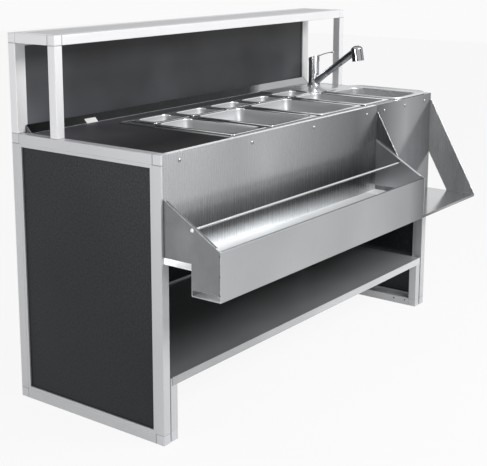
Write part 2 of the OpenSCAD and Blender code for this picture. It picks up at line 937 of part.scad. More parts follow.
// The lever is an arc that starts steeply at its pivot and flattens towards its tip
module lever_rod() {
    bend = lever_start - lever_end;
    arc_r = lever_len / (2 * sin(bend / 2));
    at_tap(cap_z + pivot_h) color("silver") {
        for (bar = [[hub_d, slot_w - 2 * slip], [pivot_pin_d, pivot_pin_len]])
            rotate([0, 90, 0]) cylinder(d = bar[0], h = bar[1], center = true);
        // Here x runs towards the bartender and y runs up
        rotate([90, 0, -90]) translate([arc_r * sin(lever_start), -arc_r * cos(lever_start)])
            rotate(90 + lever_end) {
                rotate_extrude(angle = bend) translate([arc_r, 0]) circle(d = lever_d);
                translate([arc_r, 0, 0]) rotate([90, 0, 0]) cylinder(d = lever_tip_d, h = lever_tip_len);
            }
    }
}

// The head hangs from the end of the grip, with +Z along its own axis
module at_head() {
    along_spout() translate([0, 0, dock_at + grip_len]) rotate([spout_angle - 90 - head_tilt, 0, 0])
        translate([0, 0, -head_below]) children();
}

module spray_handle() {
    color("silver") difference() {
        union() {
            along_spout() translate([0, 0, dock_at + slip])
                cylinder(d1 = dock_d, d2 = grip_end_d, h = grip_len - slip);
            along_spout() translate([0, 0, dock_at - dock_bore_depth + slip])
                cylinder(d = dock_bore_d, h = dock_bore_depth);
            at_head() rotate_extrude() head_outline();
        }
        at_head() translate([0, 0, -over])
            cylinder(d = head_d - 2 * nozzle_inset, h = nozzle_depth + over);
        at_head() for (ring = nozzle_counts_share) for (a = [0 : ring[1] - 1]) rotate(a * 360 / ring[1])
            translate([ring[0] * (head_d / 2 - nozzle_inset), 0, 0])
                cylinder(d = nozzle_hole_d, h = 2 * nozzle_depth);
        at_head() translate([0, 0, head_h - button_h]) cylinder(d = button_d + 2 * fit, h = button_h + over);
    }
}

// Half of the head's section: a straight side under an elliptical dome
module head_outline() {
    steps = 12;
    r = head_d / 2;
    polygon(concat([[0, 0], [r, 0]],
        [for (i = [0 : steps]) [r * cos(90 * i / steps), head_h - dome_h + dome_h * sin(90 * i / steps)]]));
}

module spray_button() {
    at_head() color("dimgray") translate([0, 0, head_h - button_h + button_travel + slip])
        cylinder(d = button_d, h = button_h - button_travel);
}

// Bottle rail

rail_line = [
    [beam_d - sheet / 2, rail_top], [-sheet / 2, rail_top], [-sheet / 2, tier_high - sheet / 2],
    [-rail_depth / 2, tier_high - sheet / 2], [-rail_depth / 2, tier_low - sheet / 2],
    [sheet / 2 - rail_depth, tier_low - sheet / 2], [sheet / 2 - rail_depth, rail_front_h - sheet / 2],
    [sheet / 2 - rail_depth + hem, rail_front_h - sheet / 2]
];
rail_end_outline = [
    [0, rail_back_h], [-rail_depth, rail_front_h], [-rail_depth, tier_low + end_lift],
    [-rail_depth / 2, tier_low + end_lift], [-rail_depth / 2, tier_high + end_lift], [0, tier_high + end_lift]
];
rail_in = rail_length - 2 * sheet;

// Screw places along the beam
rail_screw_pitch = (rail_length - 2 * rail_screw_edge) / (rail_screws - 1);
bracket_screw_pitch = (bracket_length - 2 * bracket_screw_edge) / (bracket_screws - 1);
screw_x = concat(
    [for (i = [0 : rail_screws - 1]) rail_x + rail_screw_edge + i * rail_screw_pitch],
    [for (i = [0 : bracket_screws - 1]) bracket_x + bracket_screw_edge + i * bracket_screw_pitch]
);

module screw_holes(deep) {
    for (x = screw_x) translate([x, -sheet - over, screw_z]) rotate([-90, 0, 0])
        cylinder(d = screw_d + 2 * screw_hole_slip, h = deep + sheet + 2 * over);
}

// The apron's top fold lies between the side frames, and the rest covers their posts
module apron_notch(x, w) {
    translate([x, slip - over, board_top - over]) cube([w, beam_d + 2 * over, sheet + 2 * over]);
}

module rail_trough() {
    place() color("silver") difference() {
        union() {
            translate([rail_x + sheet, 0, 0]) along_x(rail_in) folded(rail_line, sheet);
            translate([rail_x + sheet + rail_in - tab_len, -tab_w, tier_high]) cube([tab_len, tab_w, sheet]);
        }
        apron_notch(rail_x, profile + end_gap - rail_x);
        screw_holes(sheet);
        translate([rail_x + sheet + rail_in - tab_len / 2, -tab_w / 2, tier_high - 2 * sheet])
            cylinder(d = tab_hole_d, h = 4 * sheet);
    }
}

// One end plate, with the fold along its sloping top
module rail_end() {
    slope = atan2(rail_back_h - rail_front_h, rail_depth);
    run = norm([rail_back_h - rail_front_h, rail_depth]);
    difference() {
        union() {
            along_x(sheet) polygon(rail_end_outline);
            translate([sheet / 2, -rail_depth, rail_front_h]) rotate([slope, 0, 0])
                translate([0, 2 * hem, -sheet - fold_drop])
                cube([fold_w - sheet / 2, run - 3 * hem, sheet]);
        }
        translate([-over, rod_y, rod_z]) rotate([0, 90, 0])
            cylinder(d = screw_d + 2 * screw_hole_slip, h = sheet + 2 * over);
    }
}

module rail_end_left() {
    place() color("silver") translate([rail_x, 0, 0]) rail_end();
}

module rail_end_right() {
    place() color("silver") translate([rail_x + rail_length, 0, 0]) mirror([1, 0, 0]) rail_end();
}

module rail_rod() {
    place() color("silver") translate([rail_x + sheet, rod_y, rod_z]) rotate([0, 90, 0]) difference() {
        cylinder(d = rod_d, h = rail_in);
        for (z = [-over, rail_in - screw_len]) translate([0, 0, z])
            cylinder(d = screw_d + 2 * fit, h = screw_len + over);
    }
}

// The left screw has a proud head, and the right one is flush with its plate
module rod_screws() {
    place() color("dimgray") translate([0, rod_y, rod_z]) rotate([0, 90, 0]) {
        translate([0, 0, rail_x]) cylinder(d = screw_d, h = screw_len);
        translate([0, 0, rail_x - rod_head_h]) cylinder(d1 = rod_d, d2 = screw_head_d, h = rod_head_h);
        translate([0, 0, rail_x + rail_length - screw_len]) cylinder(d = screw_d, h = screw_len);
    }
}

module apron_screws() {
    place() color("silver") for (x = screw_x) translate([x, -sheet, screw_z]) rotate([90, 0, 0]) {
        cylinder(d1 = screw_head_d, d2 = screw_head_d / 2, h = screw_head_h);
        translate([0, 0, -screw_len]) cylinder(d = screw_d, h = screw_len);
    }
}

// Bracket with its shelf at the sink end

bracket_line = [
    [beam_d - sheet / 2, rail_top], [-sheet / 2, rail_top], [-sheet / 2, bracket_z - sheet / 2],
    [sheet / 2 - rail_depth, bracket_z - sheet / 2], [sheet / 2 - rail_depth, bracket_z - bracket_drop]
];
gusset_outline = [
    [-sheet, gusset_top], [-rail_depth, bracket_z + gusset_w], [-rail_depth, bracket_z],
    [-gusset_foot, bracket_z], [-gusset_foot, bracket_z + gusset_w], [-sheet, gusset_low]
];

module bracket_shelf() {
    place() color("silver") difference() {
        translate([bracket_x, 0, 0]) along_x(bracket_length) folded(bracket_line, sheet);
        apron_notch(bar_length - profile - end_gap, profile + 2 * end_gap);
        screw_holes(sheet);
    }
}

module bracket_side_left() {
    place() color("silver") translate([bracket_x, 0, 0]) along_x(sheet) polygon(gusset_outline);
}

module bracket_side_right() {
    place() color("silver") translate([bar_length - sheet, 0, 0]) along_x(sheet) polygon(gusset_outline);
}

// Lower shelf on two stands

shelf_line = [
    [sheet / 2, shelf_z - shelf_lip], [sheet / 2, shelf_z - sheet / 2],
    [shelf_back - sheet / 2, shelf_z - sheet / 2], [shelf_back - sheet / 2, shelf_z + shelf_upturn]
];

module lower_shelf() {
    place() color("silver") translate([profile + shelf_side, 0, 0])
        along_x(inner_length - 2 * shelf_side) folded(shelf_line, sheet);
}

module on_both_sides() {
    for (right = [0, 1]) translate([right * bar_length, 0, 0]) mirror([right, 0, 0])
        translate([profile + side_gap, 0, 0]) children();
}

module shelf_stands() {
    place() frame_colour() on_both_sides() {
        translate([0, stand_y1 - profile, 0]) rotate([0, 0, -90]) tube(stand_y1 - stand_y0 - 2 * profile);
        for (y = [stand_y0, stand_y1 - profile])
            translate([profile, y, profile]) rotate([0, -90, 0]) tube(leg_len);
    }
}

module stand_corner_cubes() {
    place() frame_colour() on_both_sides() {
        translate([0, stand_y0, 0]) corner_cube([[0, 1, 0], [0, 0, 1]]);
        translate([0, stand_y1 - profile, 0]) corner_cube([[0, -1, 0], [0, 0, 1]]);
    }
}

left_posts();
left_rails();
left_corner_cubes();
left_infill_panel();
right_posts();
right_rails();
right_corner_cubes();
right_infill_panel();
riser_posts();
riser_long_rails();
riser_short_rails();
riser_corner_cubes();
riser_top_panel();
riser_back_panel();
cross_rails();
lower_back_panel();
worktop_left();
worktop_back_strip();
upstand_trim();
upstand_end_caps();
pan_frame();
well_liner();
well_insulation();
well_casing();
well_drain();
pan_left_third();
ice_bin_left();
ice_bin_right();
pan_right_third();
for (k = [1 : small_pans]) small_pan(k);
sink_unit();
sink_waste();
sink_strainer();
waste_nut();
trap_body();
trap_cup();
tap_base();
tap_base_nut();
tap_body();
tap_cartridge();
lever_cap();
lever_rod();
spray_handle();
spray_button();
rail_trough();
rail_end_left();
rail_end_right();
rail_rod();
rod_screws();
apron_screws();
bracket_shelf();
bracket_side_left();
bracket_side_right();
lower_shelf();
shelf_stands();
stand_corner_cubes();
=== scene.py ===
import math

import bmesh
import bpy
from mathutils import Euler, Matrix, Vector


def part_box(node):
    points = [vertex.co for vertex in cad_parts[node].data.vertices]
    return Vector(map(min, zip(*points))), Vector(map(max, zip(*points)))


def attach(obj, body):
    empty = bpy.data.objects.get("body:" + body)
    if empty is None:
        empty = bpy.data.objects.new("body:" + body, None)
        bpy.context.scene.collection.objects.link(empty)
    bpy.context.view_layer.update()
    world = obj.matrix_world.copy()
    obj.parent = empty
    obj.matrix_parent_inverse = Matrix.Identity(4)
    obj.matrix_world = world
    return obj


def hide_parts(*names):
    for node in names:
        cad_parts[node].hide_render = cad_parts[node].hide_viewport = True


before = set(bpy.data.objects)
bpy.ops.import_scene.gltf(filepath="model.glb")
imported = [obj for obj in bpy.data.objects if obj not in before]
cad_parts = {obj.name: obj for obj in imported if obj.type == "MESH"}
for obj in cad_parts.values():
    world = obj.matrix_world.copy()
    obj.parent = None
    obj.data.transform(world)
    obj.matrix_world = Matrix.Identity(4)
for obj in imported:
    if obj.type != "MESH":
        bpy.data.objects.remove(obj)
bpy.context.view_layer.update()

# Camera
# The station is seen from its front left, a little above the worktop. The place and the lens were solved from the
# long edges of the photograph. The sensor and the lens are in millimetres, and the turn is in degrees.
sensor, focal_length, shift_right, shift_up, sight = 36, 79.347, 0.02629, -0.14003, 40
camera_place, camera_turn = (-2.96718, -2.0887, 1.41601), (78.4394, 0.0038, -52.7516)


def placed(name, data):
    """An object of that name in the scene, at the origin."""
    thing = bpy.data.objects.new(name, data)
    bpy.context.scene.collection.objects.link(thing)
    return thing


lens = bpy.data.cameras.new("view")
lens.sensor_width, lens.lens, lens.clip_end = sensor, focal_length, sight
lens.shift_x, lens.shift_y = shift_right, shift_up
eye = placed("view", lens)
eye.location = camera_place
eye.rotation_euler = Euler([math.radians(a) for a in camera_turn])
bpy.context.scene.camera = eye

# Posts, rails and riser bars
# Square aluminium tube, drawn, anodised to a satin silver and cut to length. The bars push onto the plugs of the
# corner cubes, and each joint is drawn as a fine line of painted shade.
noise_low, noise_high = 0.3, 0.7  # nearly all of a noise texture's values lie between these
edge_begins, edge_full = 0.995, 0.85  # how far a rounded normal still agrees with the flat one
bevel_samples, scratch_deep, glossiest = 6, 0.0002, 0.02
mix_one, mix_two, mix_result = 6, 7, 2  # a Mix node's colour sockets share their names with its others


def add(tree, kind, **settings):
    """A node of that kind, with its properties and the defaults of its inputs set by name."""
    node = tree.nodes.new("ShaderNode" + kind)
    for name, value in settings.items():
        if hasattr(node, name):
            setattr(node, name, value)
        else:
            node.inputs[name.replace("_", " ")].default_value = value
    return node


def spans(node, way, low, high):
    """Sets one end of a Map Range node: way is From for what it reads, or To for what it gives."""
    node.inputs[way + " Min"].default_value, node.inputs[way + " Max"].default_value = low, high


def node_group(name, inputs, outputs):
    """An empty shader node group with its sockets, and its two end nodes."""
    tree = bpy.data.node_groups.new(name, "ShaderNodeTree")
    for way, sockets in (("INPUT", inputs), ("OUTPUT", outputs)):
        for socket, kind in sockets.items():
            tree.interface.new_socket(socket, in_out=way, socket_type="NodeSocket" + kind)
    return tree, tree.nodes.new("NodeGroupInput"), tree.nodes.new("NodeGroupOutput")


def make_grain_group():
    """Long fine scratches. Stretch is how many lie in a metre along each axis, and Depth how far the tone swings."""
    tree, start, end = node_group(
        "brushed grain", {"Stretch": "Vector", "Depth": "Float"}, {"Tone": "Float", "Height": "Float"})
    place = add(tree, "TexCoord")
    spread = add(tree, "VectorMath", operation="MULTIPLY")
    noise = add(tree, "TexNoise", Scale=1.0, Detail=4.0, Roughness=0.65)
    swing = add(tree, "Math", operation="SUBTRACT")
    swing.inputs[1].default_value = (noise_low + noise_high) / 2
    scaled = add(tree, "Math", operation="MULTIPLY")
    tone = add(tree, "Math", operation="ADD")
    tone.inputs[1].default_value = 1.0
    tree.links.new(place.outputs["Object"], spread.inputs[0])
    tree.links.new(start.outputs["Stretch"], spread.inputs[1])
    tree.links.new(spread.outputs[0], noise.inputs["Vector"])
    tree.links.new(noise.outputs["Fac"], swing.inputs[0])
    tree.links.new(swing.outputs[0], scaled.inputs[0])
    tree.links.new(start.outputs["Depth"], scaled.inputs[1])
    tree.links.new(scaled.outputs[0], tone.inputs[0])
    tree.links.new(tone.outputs[0], end.inputs["Tone"])
    tree.links.new(noise.outputs["Fac"], end.inputs["Height"])
    return tree


def make_edge_group():
    """Softly rounded edges. Edge is a mask that is 1 on the edge itself."""
    tree, start, end = node_group("soft edges", {"Radius": "Float"}, {"Normal": "Vector", "Edge": "Float"})
    round_off = add(tree, "Bevel", samples=bevel_samples)
    flat = add(tree, "NewGeometry")
    agree = add(tree, "VectorMath", operation="DOT_PRODUCT")
    edge = add(tree, "MapRange")
    spans(edge, "From", edge_begins, edge_full)
    tree.links.new(start.outputs["Radius"], round_off.inputs["Radius"])
    tree.links.new(round_off.outputs["Normal"], agree.inputs[0])
    tree.links.new(flat.outputs["Normal"], agree.inputs[1])
    tree.links.new(agree.outputs["Value"], edge.inputs["Value"])
    tree.links.new(round_off.outputs["Normal"], end.inputs["Normal"])
    tree.links.new(edge.outputs["Result"], end.inputs["Edge"])
    return tree


def make_cloud_group():
    """Slow, wide changes of tone, as on rolled sheet and handled boards."""
    tree, start, end = node_group("cloudy tone", {"Size": "Float", "Depth": "Float"}, {"Tone": "Float"})
    place = add(tree, "TexCoord")
    noise = add(tree, "TexNoise", Detail=2.0, Roughness=0.5)
    low = add(tree, "Math", operation="SUBTRACT")
    high = add(tree, "Math", operation="ADD")
    low.inputs[0].default_value = high.inputs[0].default_value = 1.0
    span = add(tree, "MapRange")
    spans(span, "From", noise_low, noise_high)
    tree.links.new(place.outputs["Object"], noise.inputs["Vector"])
    tree.links.new(start.outputs["Size"], noise.inputs["Scale"])
    tree.links.new(start.outputs["Depth"], low.inputs[1])
    tree.links.new(start.outputs["Depth"], high.inputs[1])
    tree.links.new(noise.outputs["Fac"], span.inputs["Value"])
    tree.links.new(low.outputs[0], span.inputs["To Min"])
    tree.links.new(high.outputs[0], span.inputs["To Max"])
    tree.links.new(span.outputs["Result"], end.inputs["Tone"])
    return tree


def make_band_group():
    """A soft band across an axis. Axis picks the axis, Place is the band's middle and Width its half width."""
    tree, start, end = node_group("band", {"Axis": "Vector", "Place": "Float", "Width": "Float"}, {"Mask": "Float"})
    place = add(tree, "TexCoord")
    pick = add(tree, "VectorMath", operation="DOT_PRODUCT")
    away = add(tree, "Math", operation="SUBTRACT")
    size = add(tree, "Math", operation="ABSOLUTE")
    fall = add(tree, "MapRange")
    spans(fall, "To", 1.0, 0.0)
    tree.links.new(place.outputs["Object"], pick.inputs[0])
    tree.links.new(start.outputs["Axis"], pick.inputs[1])
    tree.links.new(pick.outputs["Value"], away.inputs[0])
    tree.links.new(start.outputs["Place"], away.inputs[1])
    tree.links.new(away.outputs[0], size.inputs[0])
    tree.links.new(size.outputs[0], fall.inputs["Value"])
    tree.links.new(start.outputs["Width"], fall.inputs["From Max"])
    tree.links.new(fall.outputs["Result"], end.inputs["Mask"])
    return tree


grain_group, edge_group = make_grain_group(), make_edge_group()
cloud_group, band_group = make_cloud_group(), make_band_group()


def use_group(tree, group, **values):
    """A node that holds the group, with its inputs set by name."""
    node = tree.nodes.new("ShaderNodeGroup")
    node.node_tree = group
    for name, value in values.items():
        node.inputs[name].default_value = value
    return node


def sheet_finish(name, colour, rough, stretch, metallic=1.0, depth=0.12, cloud=0.06, cloud_size=5.0, edge_tone=1.15,
                 edge_radius=0.0006, scratch=0.12, scratch_rough=0.08, bands=(), **shader_values):
    """A metal or board with grain along one axis, cloudy tone, and softened edges with painted light or shade.

    Bands are (axis, place, half width, tone at the middle). They paint shade at seams, light and shade on sheets.
    """
    material = bpy.data.materials.new(name)
    material.use_nodes = True
    tree = material.node_tree
    shader = tree.nodes["Principled BSDF"]
    shader.inputs["Metallic"].default_value = metallic
    for socket, value in shader_values.items():
        shader.inputs[socket.replace("_", " ")].default_value = value
    grain = use_group(tree, grain_group, Stretch=stretch, Depth=depth)
    clouds = use_group(tree, cloud_group, Size=cloud_size, Depth=cloud)
    edges = use_group(tree, edge_group, Radius=edge_radius)
    tone = add(tree, "Math", operation="MULTIPLY")
    tree.links.new(grain.outputs["Tone"], tone.inputs[0])
    tree.links.new(clouds.outputs["Tone"], tone.inputs[1])
    for axis, place, width, band_tone in bands:
        band = use_group(tree, band_group, Axis=axis, Place=place, Width=width)
        level = add(tree, "MapRange")
        spans(level, "To", 1.0, band_tone)
        tree.links.new(band.outputs["Mask"], level.inputs["Value"])
        banded = add(tree, "Math", operation="MULTIPLY")
        tree.links.new(tone.outputs[0], banded.inputs[0])
        tree.links.new(level.outputs["Result"], banded.inputs[1])
        tone = banded
    shade = add(tree, "VectorMath", operation="SCALE")
    shade.inputs[0].default_value = colour
    tree.links.new(tone.outputs[0], shade.inputs["Scale"])
    # Along the edges the colour is scaled: a tone above 1 paints a highlight there, a tone below 1 paints shade.
    painted_edge = add(tree, "VectorMath", operation="SCALE")
    painted_edge.inputs["Scale"].default_value = edge_tone
    tree.links.new(shade.outputs[0], painted_edge.inputs[0])
    mix = add(tree, "Mix", data_type="RGBA")
    tree.links.new(edges.outputs["Edge"], mix.inputs["Factor"])
    tree.links.new(shade.outputs[0], mix.inputs[mix_one])
    tree.links.new(painted_edge.outputs[0], mix.inputs[mix_two])
    tree.links.new(mix.outputs[mix_result], shader.inputs["Base Color"])
    roughness = add(tree, "MapRange")
    spans(roughness, "From", noise_low, noise_high)
    spans(roughness, "To", max(glossiest, rough - scratch_rough), rough + scratch_rough)
    tree.links.new(grain.outputs["Height"], roughness.inputs["Value"])
    tree.links.new(roughness.outputs["Result"], shader.inputs["Roughness"])
    bump = add(tree, "Bump", Strength=scratch, Distance=scratch_deep)
    tree.links.new(grain.outputs["Height"], bump.inputs["Height"])
    tree.links.new(edges.outputs["Normal"], bump.inputs["Normal"])
    tree.links.new(bump.outputs["Normal"], shader.inputs["Normal"])
    return material


def dress(material, *names):
    """Gives the CAD nodes of those names this finish."""
    for name in names:
        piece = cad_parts[name]
        piece.data.materials.clear()
        piece.data.materials.append(material)


along, across = 6.0, 900.0
x_axis, y_axis, z_axis = (1, 0, 0), (0, 1, 0), (0, 0, 1)
seam, seam_shade_tone = 0.0022, 0.3
# The riser's bars get a lighter copy of the bar colour, painted light on the upper frame.
bar_colour, riser_lit_colour = (0.48, 0.485, 0.495), (0.66, 0.66, 0.67)
# The bars' edges are painted a little darker, painted shade along them.
bar_values = dict(rough=0.42, metallic=0.35, depth=0.05, cloud=0.02, edge_tone=0.8, edge_radius=0.0008,
                  scratch=0.04)


def dress_bars(name, axis, *nodes, colour=bar_colour):
    """Gives bars along one axis their grain, and painted shade in a fine line at each end, at the cube joints."""
    stretch = [along if part else across for part in axis]
    low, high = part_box(nodes[0])
    ends = [sum(a * v for a, v in zip(axis, corner)) for corner in (low, high)]
    dress(sheet_finish(name, colour, stretch=stretch, bands=[(axis, end, seam, seam_shade_tone) for end in ends],
                       **bar_values), *nodes)


dress_bars("frame posts", z_axis, "left_posts", "right_posts")
dress_bars("riser posts", z_axis, "riser_posts", colour=riser_lit_colour)
dress_bars("stand bars", z_axis, "shelf_stands")
dress_bars("frame rails", y_axis, "left_rails", "right_rails")
dress_bars("riser short rails", y_axis, "riser_short_rails", colour=riser_lit_colour)
dress_bars("riser long rails", x_axis, "riser_long_rails", colour=riser_lit_colour)
dress_bars("cross rails", x_axis, "cross_rails")

# Corner cubes
# Cast aluminium cubes with three plugs that push into the tubes. They are tumbled and anodised with the bars, so
# they are a touch greyer. Their edges are painted darker, painted shade at the joints with the bars.
cube_values = dict(stretch=(260, 260, 260), metallic=0.35, edge_radius=0.0012, scratch=0.03)
cubes = sheet_finish("cast corners", (0.50, 0.51, 0.53), 0.5, depth=0.05, cloud=0.03, edge_tone=0.55, **cube_values)
dress(cubes, "left_corner_cubes", "right_corner_cubes", "stand_corner_cubes")
# The riser's cubes get a lighter copy of the cube finish, painted light as on the riser's bars.
riser_lit_cubes = sheet_finish("bright corners", (0.65, 0.65, 0.66), 0.45, depth=0.04, cloud=0.02, edge_tone=0.7,
                           **cube_values)
dress(riser_lit_cubes, "riser_corner_cubes")

# Boards
# Dark laminated boards slide between the bars. The side boards carry a fine emboss, and the riser's back is glossy.
# The riser's top is a pale laminate between its rails.
# The side boards are painted lighter towards the top, a painted sheen.
side_boards = sheet_finish("embossed dark board", (0.012, 0.013, 0.015), 0.42, (150, 170, 170), metallic=0.0,
                           depth=3.2, cloud=0.25, cloud_size=1.6, edge_tone=1.2, scratch=0.8,
                           bands=[(z_axis, 0.85, 0.75, 1.8)], Specular_IOR_Level=0.2)
dress(side_boards, "left_infill_panel", "right_infill_panel")
# The riser's back is painted lighter at its bottom and at its left end, a painted reflection.
gloss_board = sheet_finish("glossy dark board", (0.018, 0.019, 0.021), 0.34, (3, 3, 3), metallic=0.0, depth=0.3,
                           cloud=0.5, cloud_size=3.5, edge_tone=1.3, scratch=0.0, scratch_rough=0.05,
                           bands=[(x_axis, -0.75, 0.22, 2.2), (z_axis, 0.87, 0.12, 1.9)], Specular_IOR_Level=0.35)
dress(gloss_board, "riser_back_panel")
back_board = sheet_finish("dark back board", (0.014, 0.014, 0.016), 0.5, (40, 40, 400), metallic=0.0, depth=0.2,
                          cloud=0.1, scratch=0.05, Specular_IOR_Level=0.1)
dress(back_board, "lower_back_panel")
riser_low, riser_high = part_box("riser_top_panel")
pale_board = sheet_finish("pale top board", (0.50, 0.51, 0.53), 0.45, (120, 120, 120), metallic=0.0, depth=0.03,
                          cloud=0.02, edge_tone=0.8, scratch=0.02,
                          bands=[(z_axis, riser_low.z, (riser_high.z - riser_low.z) / 2, 0.05)])
dress(pale_board, "riser_top_panel")

# Worktop and upstand
# A black laminated board with a satin face. A bright drawn trim of triangular section covers its back edge, and
# pressed caps close the trim's ends.
# The worktop is painted lighter towards its back and at its left end, a painted reflection, and its edges carry a
# painted highlight.
worktop = sheet_finish("black worktop", (0.008, 0.008, 0.009), 0.4, (500, 500, 500), metallic=0.0, depth=0.25,
                       cloud=0.2, edge_tone=1.8, scratch=0.03,
                       bands=[(y_axis, 0.36, 0.42, 8.0), (x_axis, -0.80, 0.24, 1.8)],
                       Specular_IOR_Level=0.1)
dress(worktop, "worktop_left", "worktop_back_strip")
# The trim's left part is painted dark, a painted reflection of the dark board, and its edges carry a painted highlight.
trim = sheet_finish("bright trim", (0.40, 0.41, 0.42), 0.12, (along, across, across), metallic=0.95, depth=0.06,
                    scratch=0.02, scratch_rough=0.02, edge_tone=3.0, edge_radius=0.0012,
                    bands=[(x_axis, -0.77, 0.24, 0.3)])
dress(trim, "upstand_trim")
even_grain = (300, 300, 300)
# The caps are dark, with a strong painted highlight along their edges.
caps = sheet_finish("trim caps", (0.12, 0.12, 0.125), 0.25, even_grain, metallic=0.3, depth=0.03, scratch=0.02,
                    edge_tone=5.0, edge_radius=0.0015)
dress(caps, "upstand_end_caps")

# Ice well and the frame for the pans
# The frame is pressed from stainless steel and polished along its length: a plate with an opening for each pan and a
# bead along its edge. The well under it is plain steel over foam.
# The tray's edges carry a strong painted highlight.
tray = sheet_finish("polished tray", (0.34, 0.345, 0.35), 0.18, (10, 700, 700), metallic=0.9, depth=0.08, edge_tone=2.2,
                    scratch=0.03)
well_steel = sheet_finish("well steel", (0.42, 0.43, 0.44), 0.35, (20, 400, 400), depth=0.1)
dress(well_steel, "well_liner", "well_casing", "well_drain")
foam = sheet_finish("well foam", (0.7, 0.62, 0.38), 0.9, (400, 400, 400), metallic=0.0, depth=0.25, scratch=0.3)
dress(foam, "well_insulation")
loft_sharp, press_sharp, weld_within = 40, 50, 0.00001  # the first two are angles in degrees


def rounded_loop(low, high, inset, radius, z, steps=6):
    """Points round a rectangle with rounded corners, set in from the given corners."""
    points = []
    left, right = low[0] + inset + radius, high[0] - inset - radius
    front, back = low[1] + inset + radius, high[1] - inset - radius
    for x, y, start in ((right, back, 0), (left, back, 90), (left, front, 180), (right, front, 270)):
        for i in range(steps + 1):
            turn = math.radians(start + 90 * i / steps)
            points.append((x + radius * math.cos(turn), y + radius * math.sin(turn), z))
    return points


def bend(start, end, corner, steps=4):
    """Points of a smooth bend from start to end that leans towards the corner, as (inset, height)."""
    points = []
    for i in range(steps + 1):
        t = i / steps
        points.append(tuple((1 - t) ** 2 * s + 2 * t * (1 - t) * c + t * t * e
                            for s, c, e in zip(start, corner, end)))
    return points


def smooth(mesh, sharp):
    """Smooth shading, except at edges sharper than that angle."""
    mesh.polygons.foreach_set("use_smooth", [True] * len(mesh.polygons))
    mesh.set_sharp_from_angle(angle=math.radians(sharp))


def lofted(name, loops, material, ends_closed=True):
    """A skin through loops of equal length. It is closed at both ends unless told otherwise."""
    shape = bmesh.new()
    rings = [[shape.verts.new(p) for p in loop] for loop in loops]
    for one, two in zip(rings, rings[1:]):
        for i in range(len(one)):
            j = (i + 1) % len(one)
            shape.faces.new((one[i], one[j], two[j], two[i]))
    if ends_closed:
        shape.faces.new(rings[0])
        shape.faces.new(rings[-1])
    bmesh.ops.recalc_face_normals(shape, faces=shape.faces)
    mesh = bpy.data.meshes.new(name)
    shape.to_mesh(mesh)
    shape.free()
    mesh.materials.append(material)
    smooth(mesh, loft_sharp)
    return placed(name, mesh)


def punched(name, outline, holes, top, thick, round_off, material):
    """A flat sheet with holes and softly rounded edges. The outline and holes are loops of points."""
    curve = bpy.data.curves.new(name, "CURVE")
    curve.dimensions, curve.fill_mode = "2D", "BOTH"
    curve.extrude, curve.bevel_depth, curve.bevel_resolution = thick / 2 - round_off, round_off, 2
    curve.offset = -round_off
    for loop in [outline] + holes:
        line = curve.splines.new("POLY")
        line.points.add(len(loop) - 1)
        for point, (x, y, _) in zip(line.points, loop):
            point.co = (x, y, 0, 1)
        line.use_cyclic_u = True
    held = bpy.data.objects.new(name + "_curve", curve)
    mesh = bpy.data.meshes.new_from_object(held)
    bpy.data.objects.remove(held)
    shape = bmesh.new()
    shape.from_mesh(mesh)
    bmesh.ops.remove_doubles(shape, verts=shape.verts, dist=weld_within)
    bmesh.ops.recalc_face_normals(shape, faces=shape.faces)
    bmesh.ops.translate(shape, verts=shape.verts, vec=(0, 0, top - thick / 2))
    shape.to_mesh(mesh)
    shape.free()
    mesh.materials.clear()
    mesh.materials.append(material)
    smooth(mesh, press_sharp)
    return placed(name, mesh)


pan_names = ["pan_left_third", "ice_bin_left", "ice_bin_right", "pan_right_third"] + [
    f"small_pan_{k}" for k in range(1, 6)]
tray_low, tray_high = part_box("pan_frame")
tray_sheet, tray_round, tray_corner, hole_inset, hole_corner = 0.0018, 0.0004, 0.006, 0.011, 0.02
bead_from, bead_middle, bead_to, bead_rise, bead_sunk = 0.0015, 0.0045, 0.0075, 0.0015, -0.0005
tray_top = tray_high.z - bead_rise
plate = punched("pan_frame_drawn", rounded_loop(tray_low, tray_high, 0, tray_corner, 0),
                [rounded_loop(*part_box(name), hole_inset, hole_corner, 0) for name in pan_names],
                tray_top, tray_sheet, tray_round, tray)
bead_section = bend((bead_from, 0), (bead_middle, bead_rise), (bead_from, bead_rise))
bead_section += bend((bead_middle, bead_rise), (bead_to, 0), (bead_to, bead_rise))[1:]
bead_section += [(bead_to, bead_sunk), (bead_from, bead_sunk)]
bead = lofted("pan_frame_bead", [rounded_loop(tray_low, tray_high, inset, tray_corner, tray_top + z)
                                 for inset, z in bead_section + bead_section[:1]], tray, ends_closed=False)
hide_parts("pan_frame")
for piece in (plate, bead):
    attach(piece, "station")

# Pans and ice bins
# Each is drawn from one sheet of stainless steel and hangs in the frame by its rim. The rim is folded out and down,
# the corners are rounded, and a small step below the rim keeps stacked pans from jamming.
pan_values = dict(stretch=(90, 90, 40), depth=0.0, cloud=0.04, edge_tone=1.2, edge_radius=0.0003, scratch=0.0,
                  scratch_rough=0.0)
pan_steel = sheet_finish("drawn pans", (0.48, 0.49, 0.50), 0.48, metallic=0.7, **pan_values)
# The rims get a lighter, glossier copy of the pans' steel; the lighter colour is a painted highlight.
lit_rim_steel = sheet_finish("pan rims", (0.74, 0.75, 0.76), 0.12, metallic=0.95, **pan_values)
pan_rim, pan_wall, pan_draft = 0.012, 0.001, 0.004
pan_floor_bend, rim_bend, rim_edge, rim_fold = 0.022, 0.004, 0.002, 0.003
stack_step, stack_step_at, stack_step_fall = 0.0015, 0.028, 0.003
outer_corner, inner_corner, floor_corner = 0.008, 0.025, 0.014


